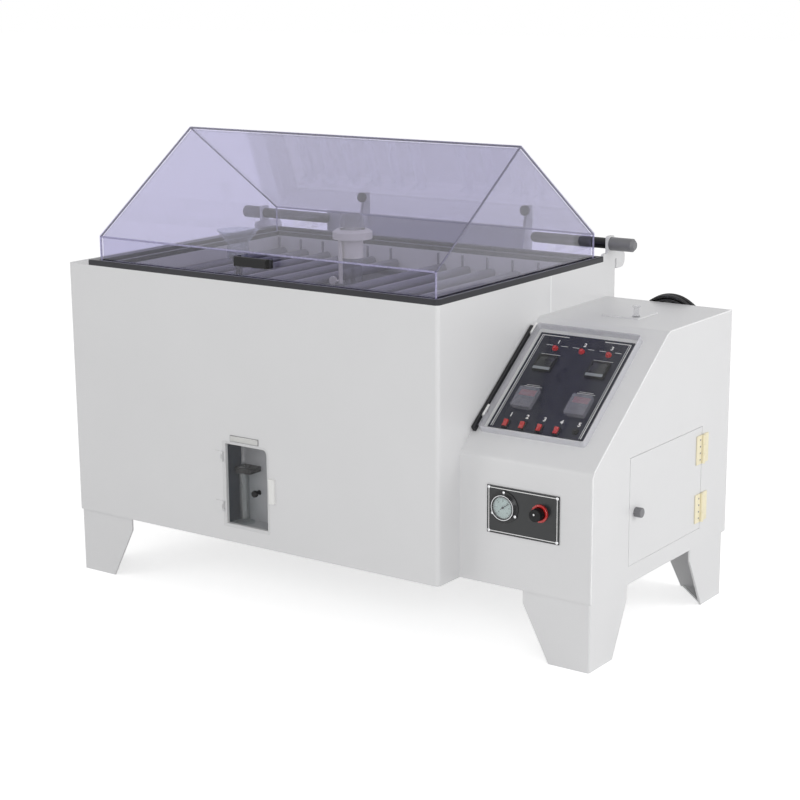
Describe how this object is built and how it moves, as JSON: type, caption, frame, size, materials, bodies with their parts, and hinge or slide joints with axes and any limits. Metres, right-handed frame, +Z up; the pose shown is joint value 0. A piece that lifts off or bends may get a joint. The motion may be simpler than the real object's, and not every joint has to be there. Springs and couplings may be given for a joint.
{
  "type": "salt fog test chamber",
  "caption": "Free-standing corrosion test cabinet with a hinged clear gable lid on a water seal, a spray tower and specimen bars inside, and a side control box with covered panel and gauge",
  "frame": {"origin": "on the floor, under the middle of the chamber's bounding box without its mains cord", "axes": "+X to the right along the front, from the cabinet to the control box; +Y to the rear; +Z up"},
  "size_m": [1.4802, 0.8514, 1.0726],
  "materials": {
    "body_sheet": "light grey welded sheet, satin",
    "seal_sheet": "dark grey sheet, satin",
    "tank_sheet": "white sheet, satin",
    "bar_tube": "grey tube, satin",
    "lid_sheet": "smoky lavender clear sheet, polished",
    "clear_acrylic": "clear acrylic, polished",
    "lab_glass": "borosilicate glass, clear",
    "white_polymer": "white moulded polymer",
    "black_polymer": "black moulded polymer",
    "grey_polymer": "grey turned polymer",
    "ivory_polymer": "ivory moulded polymer",
    "red_polymer": "translucent red, glossy",
    "panel_sheet": "dark navy printed sheet",
    "bumper_rubber": "black rubber",
    "cord_sheath": "black flexible sheath",
    "bright_steel": "stainless, brushed",
    "gauge_case": "black enamel",
    "valve_brass": "turned brass"
  },
  "bodies": {
    "cabinet": {"cabinet_shell": "body_sheet", "rim_trough": "seal_sheet", "tank": "tank_sheet", "bar_ledges": "tank_sheet", "specimen_bars": "bar_tube", "fog_funnel": "clear_acrylic", "drip_line": "white_polymer", "tower_column": "clear_acrylic", "spray_nozzle": "lab_glass", "tank_heater": "bright_steel", "window_recess": "black_polymer", "measuring_cylinder": "lab_glass", "cylinder_holder": "black_polymer", "window_hinges": "clear_acrylic", "window_catch": "tank_sheet", "hinge_ears": "body_sheet", "pivot_shafts": "black_polymer", "shaft_knobs": "grey_polymer", "stop_board": "body_sheet", "stop_bumpers": "bumper_rubber", "rear_pipes": "body_sheet", "air_inlet": "bright_steel", "control_box_shell": "body_sheet", "legs": "body_sheet", "control_panel": "panel_sheet", "controllers": "black_polymer", "timers": "black_polymer", "timer_covers": "clear_acrylic", "indicator_lamps": "red_polymer", "switch_bezels": "black_polymer", "cover_hinges": "white_polymer", "gauge_plate": "panel_sheet", "pressure_gauge": "gauge_case", "regulator_body": "valve_brass", "door_hinges": "ivory_polymer", "air_saturator": "bright_steel", "cord_gland": "grey_polymer", "power_cord": "cord_sheath", "cord_coil": "cord_sheath", "power_plug": "cord_sheath"},
    "lid": {"lid": "lid_sheet", "lid_handle": "black_polymer", "lid_hinge_blocks": "bar_tube"},
    "tower_cap": {"tower_cap": "white_polymer"},
    "window_door": {"window_door": "clear_acrylic", "window_knob": "black_polymer"},
    "panel_cover": {"panel_cover": "clear_acrylic", "cover_leaves": "white_polymer"},
    "access_door": {"access_door": "body_sheet", "door_leaves": "ivory_polymer"},
    "door_lock": {"door_lock": "bright_steel"},
    "filler_hatch": {"filler_hatch": "body_sheet", "hatch_pull": "clear_acrylic"},
    "gauge_needle": {"gauge_needle": "gauge_case"},
    "regulator_knob": {"regulator_knob": "black_polymer"},
    "rocker_1": {"rocker_1": "red_polymer"},
    "rocker_2": {"rocker_2": "red_polymer"},
    "rocker_3": {"rocker_3": "red_polymer"},
    "rocker_4": {"rocker_4": "red_polymer"},
    "panel_button": {"panel_button": "black_polymer"}
  },
  "joints": [
    {"name": "lid_hinge", "type": "hinge", "parent": "cabinet", "child": "lid", "pos_m": [-0.09755, 0.33865, 0.808], "axis": [-1, 0, 0], "range_deg": [0, 55]},
    {"name": "tower_cap_slide", "type": "slide", "parent": "cabinet", "child": "tower_cap", "axis": [0, 0, 1], "range_m": [0, 0.014]},
    {"name": "window_hinge", "type": "hinge", "parent": "cabinet", "child": "window_door", "pos_m": [-0.20515, -0.40215, 0.2985], "axis": [0, 0, -1], "range_deg": [0, 110]},
    {"name": "cover_hinge", "type": "hinge", "parent": "cabinet", "child": "panel_cover", "pos_m": [0.40935, -0.14835, 0.57937], "axis": [0, -0.7962, -0.6051], "range_deg": [0, 90]},
    {"name": "access_door_hinge", "type": "hinge", "parent": "cabinet", "child": "access_door", "pos_m": [0.72835, 0.1834, 0.3165], "axis": [0, 0, 1], "range_deg": [0, 110]},
    {"name": "door_lock_turn", "type": "hinge", "parent": "access_door", "child": "door_lock", "pos_m": [0.72385, -0.12735, 0.312], "axis": [1, 0, 0], "range_deg": [0, 90]},
    {"name": "hatch_lift", "type": "slide", "parent": "cabinet", "child": "filler_hatch", "axis": [0, 0, 1], "range_m": [0, 0.06]},
    {"name": "needle_turn", "type": "hinge", "parent": "cabinet", "child": "gauge_needle", "pos_m": [0.51085, -0.32485, 0.334], "axis": [0, -1, 0], "range_deg": [-80, 190]},
    {"name": "regulator_turn", "type": "hinge", "parent": "cabinet", "child": "regulator_knob", "pos_m": [0.59985, -0.32885, 0.335], "axis": [0, -1, 0], "continuous": true},
    {"name": "rocker_1_tilt", "type": "hinge", "parent": "cabinet", "child": "rocker_1", "pos_m": [0.46685, -0.24513, 0.49765], "axis": [-1, 0, 0], "range_deg": [0, 18]},
    {"name": "rocker_2_tilt", "type": "hinge", "parent": "cabinet", "child": "rocker_2", "pos_m": [0.50785, -0.24513, 0.49765], "axis": [-1, 0, 0], "range_deg": [0, 18]},
    {"name": "rocker_3_tilt", "type": "hinge", "parent": "cabinet", "child": "rocker_3", "pos_m": [0.55085, -0.24513, 0.49765], "axis": [-1, 0, 0], "range_deg": [0, 18]},
    {"name": "rocker_4_tilt", "type": "hinge", "parent": "cabinet", "child": "rocker_4", "pos_m": [0.59285, -0.24513, 0.49765], "axis": [-1, 0, 0], "range_deg": [0, 18]},
    {"name": "button_press", "type": "slide", "parent": "cabinet", "child": "panel_button", "axis": [0, 0.6051, -0.7962], "range_m": [0, 0.002], "stiffness_N_per_m": 300}
  ]
}
